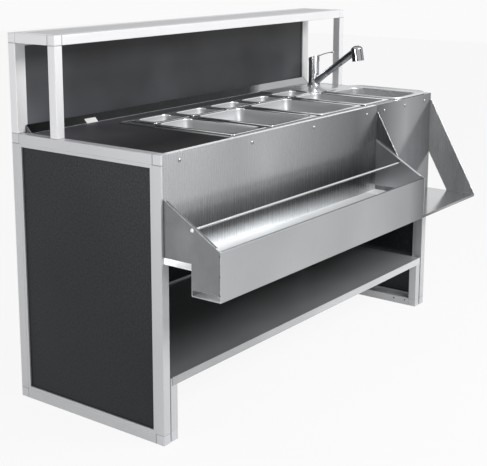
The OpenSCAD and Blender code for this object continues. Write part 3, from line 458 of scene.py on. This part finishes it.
def pan_section(deep):
    """The pan's section from the middle of its inside to the middle of its underside, as (inset, height)."""
    wall, foot = pan_rim + pan_wall, pan_rim + pan_wall + stack_step + pan_draft
    inside = bend((foot + pan_floor_bend, -deep), (foot, pan_floor_bend - deep), (foot, -deep), 6)
    inside += [(wall + stack_step, -stack_step_at - stack_step_fall), (wall, -stack_step_at)]
    inside += bend((wall, -rim_bend), (wall - rim_bend, 0), (wall, 0))
    top = bend((rim_edge, 0), (0, -rim_edge), (0, 0))
    top += [(0, -rim_fold), (pan_wall, -rim_fold), (pan_wall, -rim_edge)]
    outside = [(x - pan_wall, z - pan_wall) for x, z in reversed(inside)]
    outside[0] = (wall - rim_bend - pan_wall, -pan_wall)
    return inside + top + outside


def corner_radius(inset):
    """The corners of a pan widen from the rim's edge to its wall and tighten again towards its floor."""
    if inset <= pan_rim:
        return outer_corner + (inner_corner - outer_corner) * inset / pan_rim
    return max(floor_corner, inner_corner - (inset - pan_rim))


for name in pan_names:
    low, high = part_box(name)
    deep = high.z - low.z - pan_wall
    pan = lofted(name + "_drawn", [rounded_loop(low, high, inset, corner_radius(inset), high.z + z)
                                   for inset, z in pan_section(deep)], pan_steel)
    pan.data.materials.append(lit_rim_steel)
    for face in pan.data.polygons:
        face.material_index = int(face.center.z > high.z - rim_bend)
    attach(pan, name)
    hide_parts(name)

# Joint clip
# Two lengths of trim meet left of the pans. A clip bent from aluminium strip is pressed over the joint and lies
# close to the trim's slope.
trim_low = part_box("upstand_trim")[0]
clip_from, clip_to, clip_wide, clip_off = -0.529, -0.479, 0.013, 0.0004
clip_section = ((trim_low.y, trim_low.z), (trim_low.y + clip_wide, trim_low.z + clip_wide),
                (trim_low.y + clip_wide - clip_off, trim_low.z + clip_wide + clip_off),
                (trim_low.y - clip_off, trim_low.z + clip_off))
clip_finish = sheet_finish("clip", (0.8, 0.8, 0.81), 0.4, even_grain, metallic=0.2, depth=0.04)
clip = lofted("trim_joint_clip", [[(x, y, z) for y, z in clip_section] for x in (clip_from, clip_to)], clip_finish)
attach(clip, "station")

# Sink, waste, trap and tap
# The sink is pressed with a raised bead, brushed inside and welded into its deck. The waste and the tap are chromed
# brass, and the trap below is moulded.
sink_steel = sheet_finish("pressed sink", (0.58, 0.59, 0.60), 0.28, (1100, 25, 1100), metallic=0.7, depth=0.04,
                          edge_tone=1.4, scratch=0.01, scratch_rough=0.02)


def between(one, two, share, inset, radius, z):
    """A rounded loop whose sides lie between those of two rectangles."""
    low = one[0].lerp(two[0], share)
    high = one[1].lerp(two[1], share)
    return rounded_loop(low, high, inset, radius, z, steps=10)


def ring(x, y, radius, z, points=32):
    """Points round a circle."""
    return [(x + radius * math.cos(k * 2 * math.pi / points), y + radius * math.sin(k * 2 * math.pi / points), z)
            for k in range(points)]


sink_sheet, sink_rise, sink_floor_bend, bowl_bend, bowl_slope = 0.0012, 0.006, 0.03, 0.006, 0.004
unit_low, unit_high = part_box("sink_unit")
deck_z, bowl_z = unit_high.z - sink_rise, unit_low.z + sink_sheet
rim_box = (Vector((0.538, -0.197)), Vector((0.797, 0.143)))
bowl_box = (Vector((0.560, -0.170)), Vector((0.762, 0.118)))
drain_x, drain_y, drain_r, rim_r, bowl_r = 0.661, -0.026, 0.027, 0.055, 0.044
# The bead rises, turns over and falls to a ledge, which slopes down to the lip of the bowl.
crown_from, crown_to, crown_end, ledge_from, ledge_z = 0.004, 0.0045, 0.009, 0.010, 0.003
ledge_heights, ledge_tightens = ((0.35, 0.0022), (0.7, 0.0012)), 0.002
lip_from, lip_z, bowl_wall, bowl_foot = -0.001, 0.0008, 0.003, 0.006
crown = bend((0, 0), (crown_from, sink_rise), (0, sink_rise), 5)
crown += bend((crown_to, sink_rise), (ledge_from, ledge_z), (crown_end, sink_rise), 4)
rings = [between(rim_box, bowl_box, 0, inset, rim_r - inset, deck_z + z) for inset, z in crown]
for share, z in ledge_heights:
    rings.append(between(rim_box, bowl_box, share, ledge_from * (1 - share),
                         rim_r - ledge_from - ledge_tightens * share, deck_z + z))
lip = bend((lip_from, lip_z), (bowl_wall, -bowl_bend), (bowl_wall, lip_z), 5)
rings += [between(rim_box, bowl_box, 1, inset, bowl_r - inset / 2, deck_z + z) for inset, z in lip]
foot_z = bowl_z + bowl_slope / 2
foot = bend((bowl_foot, bowl_z + sink_floor_bend), (bowl_foot + sink_floor_bend, foot_z), (bowl_foot, foot_z), 6)
rings += [between(rim_box, bowl_box, 1, inset, bowl_r - inset / 2, z) for inset, z in foot]
turns = [math.atan2(y - drain_y, x - drain_x) for x, y, _ in rings[-1]]
rings.append([(drain_x + drain_r * math.cos(t), drain_y + drain_r * math.sin(t), bowl_z) for t in turns])
sink = lofted("sink_pressed", rings, sink_steel, ends_closed=False)
# The skin gets its thickness downwards, so its faces have to look up first.
skin_share, well_below_deck = 0.8, 0.15
skin = bmesh.new()
skin.from_mesh(sink.data)
floor_face = max(skin.faces,
                 key=lambda face: abs(face.normal.z) * (face.calc_center_median().z < deck_z - well_below_deck))
if floor_face.normal.z < 0:
    bmesh.ops.reverse_faces(skin, faces=skin.faces)
bmesh.ops.solidify(skin, geom=skin.faces[:], thickness=sink_sheet * skin_share)
skin.to_mesh(sink.data)
skin.free()
smooth(sink.data, press_sharp)
deck_left, deck_right, deck_front, deck_back, deck_round = 0.423, 0.769, 0.275, 0.345, 0.0003
rim_left, rim_back = rim_box[0].x, rim_box[1].y
deck_out = [(x, y, 0) for x, y in ((deck_left, deck_front), (rim_left, deck_front), (rim_left, rim_back),
                                   (deck_right, rim_back), (deck_right, deck_back), (deck_left, deck_back))]
tap_x, tap_y, tap_hole_r = 0.715, 0.285, 0.017
deck = punched("sink_deck_drawn", deck_out, [ring(tap_x, tap_y, tap_hole_r, 0)], deck_z, sink_sheet, deck_round,
               sink_steel)
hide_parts("sink_unit")
for piece in (sink, deck):
    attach(piece, "station")
chrome_values = dict(stretch=(60, 60, 60), depth=0.02, cloud=0.01, scratch=0.0, scratch_rough=0.02)
chrome = sheet_finish("polished chrome", (0.62, 0.63, 0.65), 0.05, edge_tone=1.1,
                      Specular_Tint=(0.15, 0.15, 0.16, 1), **chrome_values)
dress(chrome, "sink_waste", "sink_strainer", "tap_base", "tap_body", "lever_cap")
# The spray head gets a darker copy of the chrome, a painted reflection of dark surroundings.
spray_chrome = sheet_finish("spray chrome", (0.38, 0.385, 0.40), 0.06, edge_tone=1.1,
                            Specular_Tint=(0.1, 0.1, 0.11, 1), **chrome_values)
dress(spray_chrome, "spray_handle")
rod_chrome = sheet_finish("lever rod chrome", (0.86, 0.87, 0.88), 0.2, edge_tone=1.0, **chrome_values)
dress(rod_chrome, "lever_rod")
dark_moulding = sheet_finish("dark moulding", (0.05, 0.05, 0.055), 0.5, even_grain, metallic=0.0, depth=0.1)
dress(dark_moulding, "waste_nut", "spray_button")
white_moulding = sheet_finish("white moulding", (0.72, 0.72, 0.71), 0.4, (200, 200, 200), metallic=0.0, depth=0.03)
dress(white_moulding, "trap_body", "trap_cup", "tap_cartridge")
brass = sheet_finish("turned brass", (0.62, 0.46, 0.2), 0.3, (200, 200, 900), depth=0.1)
dress(brass, "tap_base_nut")

# Bottle rail, apron and bracket shelf
# Each is folded from 1.5 mm stainless sheet and brushed upright. The end and side plates are welded on, and the
# whole is screwed to the front through the apron.
upright, lengthways = (900, 900, 5), (5, 420, 420)
side_steel = sheet_finish("upright brushed steel", (0.60, 0.61, 0.62), 0.3, upright, metallic=0.85, depth=0.08,
                          cloud=0.12, cloud_size=6.0, edge_tone=2.2, edge_radius=0.0012, scratch=0.03)
dress(side_steel, "bracket_side_right")
# The rail's front is painted darker towards its right end, a painted reflection.
front_steel = sheet_finish("rail front steel", (0.40, 0.41, 0.42), 0.34, upright, metallic=0.85, depth=0.06,
                           cloud=0.12, cloud_size=2.0, edge_tone=2.4, edge_radius=0.0014, scratch=0.04,
                           bands=[(x_axis, 0.40, 0.42, 0.6), (x_axis, 0.39, 0.12, 0.45)])
# Painted reflections on the apron: a dark band about 0.6 m up and darker towards its right part, a bright band low down
# beside the rail's floor, and lighter at its left end.
back_steel = sheet_finish("apron steel", (0.36, 0.37, 0.38), 0.27, upright, metallic=0.85, depth=0.03, cloud=0.1,
                          cloud_size=2.5, edge_tone=2.8, scratch=0.012, scratch_rough=0.03,
                          bands=[(z_axis, 0.615, 0.07, 0.55), (x_axis, 0.24, 0.55, 0.34), (z_axis, 0.546, 0.05, 3.0),
                                 (x_axis, -0.79, 0.35, 1.2)])
# The rail's floors get a light copy of the steel, painted light.
floor_steel = sheet_finish("rail floor steel", (0.74, 0.75, 0.76), 0.4, lengthways, metallic=0.3, depth=0.05,
                           cloud=0.05, scratch=0.04)
# The tab is painted near white, painted light.
tab_steel = sheet_finish("bright tab", (0.9, 0.9, 0.91), 0.45, even_grain, metallic=0.1, depth=0.05)
# The bracket's apron is painted darker in two places along its length, a painted reflection; its floor gets a lighter
# copy of the steel, painted light.
bracket_steel = sheet_finish("bracket apron steel", (0.35, 0.36, 0.37), 0.14, upright, metallic=1.0, depth=0.06,
                             cloud=0.12, cloud_size=3.0, edge_tone=2.4, edge_radius=0.0012, scratch=0.01,
                             scratch_rough=0.02, bands=[(x_axis, 0.38, 0.22, 0.35), (x_axis, 0.80, 0.20, 0.6)])
bracket_floor = sheet_finish("bracket floor steel", (0.50, 0.51, 0.52), 0.15, lengthways, metallic=0.9, depth=0.05,
                             cloud=0.05, edge_tone=1.8, edge_radius=0.0012, scratch=0.03, scratch_rough=0.03)
# The left plates get a dark copy of the steel, painted shade, with a strong painted highlight on their edges; the right
# end plate gets a lighter copy, painted light.
end_steel = sheet_finish("end plate steel", (0.19, 0.195, 0.20), 0.26, upright, metallic=0.9, depth=0.04,
                         cloud=0.2, cloud_size=9.0, edge_tone=5.0, edge_radius=0.0012, scratch=0.03,
                         scratch_rough=0.03)
dress(end_steel, "rail_end_left", "bracket_side_left")
right_end_steel = sheet_finish("right end steel", (0.48, 0.49, 0.50), 0.3, upright, metallic=0.8, depth=0.02,
                               cloud=0.1, edge_tone=2.0, edge_radius=0.0012, scratch=0.0, scratch_rough=0.02)
dress(right_end_steel, "rail_end_right")
drawn_rod = sheet_finish("drawn rod", (0.7, 0.71, 0.72), 0.2, (8, 700, 700), depth=0.1)
dress(drawn_rod, "rail_rod")

# The front, the floors and the upturned edges of one folded sheet each get their own copy of the steel, with light
# and shade painted in: the floors and the tab are painted bright, the front and the back darker. The tab is the small
# tongue with a hole at the rail's right end.
facing_up, floor_under, front_deep = 0.9, 0.7, 0.012
tab_low, tab_high, tab_from = 0.5465, 0.5485, 0.3
dress(back_steel, "rail_trough")
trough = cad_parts["rail_trough"].data
for material in (front_steel, floor_steel, tab_steel):
    trough.materials.append(material)
of_front, of_floor, of_tab = 1, 2, 3
rail_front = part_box("rail_trough")[0].y
for face in trough.polygons:
    if max(trough.vertices[v].co.y for v in face.vertices) < rail_front + front_deep:
        face.material_index = of_front
    elif face.normal.z > facing_up:
        face.material_index = of_floor if face.center.z < floor_under else of_tab
    if tab_low < face.center.z < tab_high and face.center.x > tab_from:
        face.material_index = of_tab
dress(bracket_steel, "bracket_shelf")
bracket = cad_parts["bracket_shelf"].data
bracket.materials.append(bracket_floor)
for face in bracket.polygons:
    if face.normal.z > facing_up and face.center.z < floor_under:
        face.material_index = 1

# Screws and weld spots
# Plated steel screws with domed heads and cross recesses hold the apron to the beam behind it, and two more sit in
# the right stand. The dark spots are the heat tint of the welds at both ends of the rail's front.
# The screw heads are painted darker along their edges and recesses, painted shade.
plated = sheet_finish("plated screws", (0.34, 0.345, 0.35), 0.1, even_grain, depth=0.05, edge_tone=0.6)
weld_dark = sheet_finish("weld heat tint", (0.05, 0.045, 0.04), 0.6, (900, 900, 900), metallic=0.6, depth=0.3)
dress(rod_chrome, "rod_screws")
dome_edge, recess_rise, cross_hub = 1.15, 0.96, 0.4
recess_steps = ((1.0, 0.02), (0.8, 0.6), (0.5, 1.0))


def screw_head(name, radius, rise, recess_r, recess_deep, points=32, rounds=7):
    """A domed head with a cross recess, round the origin and facing up."""
    turns = [2 * math.pi * i / points for i in range(points)]
    loops = [[(radius * math.cos(t), radius * math.sin(t), 0) for t in turns]]
    for k in range(1, rounds):
        a = k * math.pi / 2 / rounds
        r = radius * math.cos(a)
        if r > recess_r * dome_edge:
            loops.append([(r * math.cos(t), r * math.sin(t), rise * math.sin(a)) for t in turns])
    arms = [recess_r * (cross_hub + (1 - cross_hub) * math.cos(2 * t) ** 2) for t in turns]
    for share, depth in recess_steps:
        loops.append([(share * arm * math.cos(t), share * arm * math.sin(t), rise * recess_rise - recess_deep * depth)
                      for arm, t in zip(arms, turns)])
    return lofted(name, loops, plated)


def make_fastener_group():
    """Sets a head on each point of a mesh. Turn faces the heads."""
    tree = bpy.data.node_groups.new("fasteners", "GeometryNodeTree")
    for name, kind in (("Places", "Geometry"), ("Head", "Object"), ("Turn", "Vector"), ("Finish", "Material")):
        tree.interface.new_socket(name, in_out="INPUT", socket_type="NodeSocket" + kind)
    tree.interface.new_socket("Heads", in_out="OUTPUT", socket_type="NodeSocketGeometry")
    start, end = tree.nodes.new("NodeGroupInput"), tree.nodes.new("NodeGroupOutput")
    dots = tree.nodes.new("GeometryNodeMeshToPoints")
    head = tree.nodes.new("GeometryNodeObjectInfo")
    turn = tree.nodes.new("FunctionNodeEulerToRotation")
    spread = tree.nodes.new("GeometryNodeInstanceOnPoints")
    real = tree.nodes.new("GeometryNodeRealizeInstances")
    finish = tree.nodes.new("GeometryNodeSetMaterial")
    tree.links.new(start.outputs["Places"], dots.inputs["Mesh"])
    tree.links.new(start.outputs["Head"], head.inputs["Object"])
    tree.links.new(start.outputs["Turn"], turn.inputs[0])
    tree.links.new(dots.outputs["Points"], spread.inputs["Points"])
    tree.links.new(head.outputs["Geometry"], spread.inputs["Instance"])
    tree.links.new(turn.outputs[0], spread.inputs["Rotation"])
    tree.links.new(spread.outputs["Instances"], real.inputs["Geometry"])
    tree.links.new(real.outputs["Geometry"], finish.inputs["Geometry"])
    tree.links.new(start.outputs["Finish"], finish.inputs["Material"])
    tree.links.new(finish.outputs["Geometry"], end.inputs["Heads"])
    return tree


fastener_group = make_fastener_group()


def fasteners(name, places, head, turn, finish):
    """A plain mesh of heads at those places, on the station."""
    dots = bpy.data.meshes.new(name)
    dots.from_pydata(places, [], [])
    piece = placed(name, dots)
    modifier = piece.modifiers.new("fasteners", "NODES")
    modifier.node_group = fastener_group
    sockets = {item.name: item.identifier for item in fastener_group.interface.items_tree if item.in_out == "INPUT"}
    for socket, value in (("Head", head), ("Turn", turn), ("Finish", finish)):
        modifier[sockets[socket]] = value
    piece.update_tag()
    ready = piece.evaluated_get(bpy.context.evaluated_depsgraph_get())
    heads = bpy.data.meshes.new_from_object(ready)
    piece.modifiers.remove(modifier)
    piece.data = heads
    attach(piece, "station")
    return piece


to_front, to_left = (math.pi / 2, 0, 0), (0, -math.pi / 2, 0)
screw_z, apron_front, station_left = 0.830, -0.2015, -0.8
apron_mm = (79, 423, 767, 1111, 1235, 1391.5, 1548)
stand_x, stand_y, stand_z = 0.735, (-0.152, -0.103), 0.018
weld_x, weld_y, weld_z = (-0.7915, 0.3818), -0.3985, (0.602, 0.546, 0.492)
big_head = screw_head("screw_head", radius=0.0065, rise=0.0034, recess_r=0.0034, recess_deep=0.0022)
row = fasteners("apron_screws_drawn", [(x / 1000 + station_left, apron_front, screw_z) for x in apron_mm], big_head,
                to_front, plated)
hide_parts("apron_screws")
small_head = screw_head("small_head", radius=0.0040, rise=0.0012, recess_r=0.0022, recess_deep=0.0010)
fasteners("stand_screws", [(stand_x, y, stand_z) for y in stand_y], small_head, to_left, plated)
blob = screw_head("weld_blob", radius=0.0035, rise=0.0010, recess_r=0.0006, recess_deep=0.0002)
fasteners("weld_spots", [(x, weld_y, z) for x in weld_x for z in weld_z], blob, to_front, weld_dark)
for head in (big_head, small_head, blob):
    bpy.data.objects.remove(head)

# Lower shelf
# Folded from stainless sheet, with a lip turned down in front and a low upturn behind. It rests on the legs of the
# two stands, and its brushing shows in slow clouds.
# The shelf is painted lighter towards its right end, a painted reflection.
shelf_steel = sheet_finish("shelf steel", (0.43, 0.44, 0.45), 0.17, (8, 300, 300), metallic=0.6, depth=0.03,
                           cloud=0.25, cloud_size=1.5, edge_tone=1.6, scratch=0.01, scratch_rough=0.01,
                           bands=[(x_axis, 0.70, 0.8, 1.2)])
dress(shelf_steel, "lower_shelf")

# Studio
# A plain pale floor under a white surround, with large soft lamps above the front and the left. None of it belongs to
# the object.


def facing(place, aim):
    """The turn that points an object's back, or a lamp's light, from the place to the aim."""
    return (Vector(aim) - Vector(place)).to_track_quat("-Z", "Y").to_euler()


def lamp(name, place, aim, size, power):
    """A soft rectangular lamp."""
    light = bpy.data.lights.new(name, "AREA")
    light.shape = "RECTANGLE"
    light.size, light.size_y = size
    light.energy = power
    held = placed(name, light)
    held.location, held.rotation_euler = place, facing(place, aim)


lamp("front lamp", place=(0.4, -2.6, 2.3), aim=(0.0, 0.1, 0.8), size=(2.6, 1.0), power=112)
lamp("left lamp", place=(-3.4, 0.6, 0.85), aim=(-0.8, 0.1, 0.95), size=(1.2, 0.6), power=30)
lamp("low lamp", place=(0.2, -2.6, 0.7), aim=(0.0, 0.3, 0.3), size=(2.4, 0.6), power=8)

# Black flags outside the picture give the bright metal its dark reflections, as in a studio: two beside the camera,
# and a low one behind the station for the edges of the tap. Each is (place, aim, width, height).
flags = (((-4.2, -1.2, 1.3), (0, 0, 0.9), 1.3, 2.4), ((1.9, -3.4, 1.2), (0, 0, 0.9), 1.1, 2.4),
         ((2.3, 2.2, 0.45), (0, 0.3, 0.9), 2.0, 0.8))
black = bpy.data.materials.new("black flag")
black.use_nodes = True
felt = black.node_tree.nodes["Principled BSDF"].inputs
felt["Base Color"].default_value, felt["Roughness"].default_value = (0.01, 0.01, 0.01, 1), 0.9
for k, (place, aim, wide, tall) in enumerate(flags):
    flag_mesh = bpy.data.meshes.new(f"flag_{k}")
    flag_mesh.from_pydata([(-wide / 2, -tall / 2, 0), (wide / 2, -tall / 2, 0), (wide / 2, tall / 2, 0),
                           (-wide / 2, tall / 2, 0)], [], [(0, 1, 2, 3)])
    flag_mesh.materials.append(black)
    flag = placed(f"flag_{k}", flag_mesh)
    flag.location, flag.rotation_euler = place, facing(place, aim)
    flag.visible_camera = flag.visible_diffuse = flag.visible_shadow = False


def looked_at(tree):
    """A socket that is 1 for rays of the camera, of gloss and of glass, and 0 for the light on the object."""
    ray = add(tree, "LightPath")
    camera_or_gloss = add(tree, "Math", operation="MAXIMUM")
    any_look = add(tree, "Math", operation="MAXIMUM")
    tree.links.new(ray.outputs["Is Camera Ray"], camera_or_gloss.inputs[0])
    tree.links.new(ray.outputs["Is Glossy Ray"], camera_or_gloss.inputs[1])
    tree.links.new(camera_or_gloss.outputs[0], any_look.inputs[0])
    tree.links.new(ray.outputs["Is Transmission Ray"], any_look.inputs[1])
    return any_look.outputs[0]


background_white, room_light = 0.956, 0.4
world = bpy.data.worlds.new("surround")
bpy.context.scene.world = world
world.use_nodes = True
sky = world.node_tree
sky.nodes.clear()
level = add(sky, "MapRange")
spans(level, "To", room_light, background_white)
glow = add(sky, "Background", Color=(1, 1, 1, 1))
out = add(sky, "OutputWorld")
sky.links.new(looked_at(sky), level.inputs["Value"])
sky.links.new(level.outputs["Result"], glow.inputs["Strength"])
sky.links.new(glow.outputs[0], out.inputs["Surface"])

# The floor keeps the object's shadow, and shows nearly as white as the surround.
floor_reach, floor_drop, floor_white, floor_shown, floor_share = 12, -0.001, 0.9, 0.96, 0.95
floor_mesh = bpy.data.meshes.new("floor")
floor_shape = bmesh.new()
bmesh.ops.create_grid(floor_shape, x_segments=1, y_segments=1, size=floor_reach)
floor_shape.to_mesh(floor_mesh)
floor_shape.free()
floor = placed("floor", floor_mesh)
floor.location.z = floor_drop
pale = bpy.data.materials.new("pale floor")
pale.use_nodes = True
ground = pale.node_tree
ground.nodes.clear()
matte = add(ground, "BsdfDiffuse", Color=(floor_white, floor_white, floor_white, 1))
lifted = add(ground, "Emission", Color=(floor_shown, floor_shown, floor_shown, 1))
share = add(ground, "Math", operation="MULTIPLY")
share.inputs[1].default_value = floor_share
blend = add(ground, "MixShader")
end = add(ground, "OutputMaterial")
ground.links.new(looked_at(ground), share.inputs[0])
ground.links.new(share.outputs[0], blend.inputs[0])
ground.links.new(matte.outputs[0], blend.inputs[1])
ground.links.new(lifted.outputs[0], blend.inputs[2])
ground.links.new(blend.outputs[0], end.inputs["Surface"])
floor_mesh.materials.append(pale)

bpy.context.scene.view_settings.view_transform = "Standard"
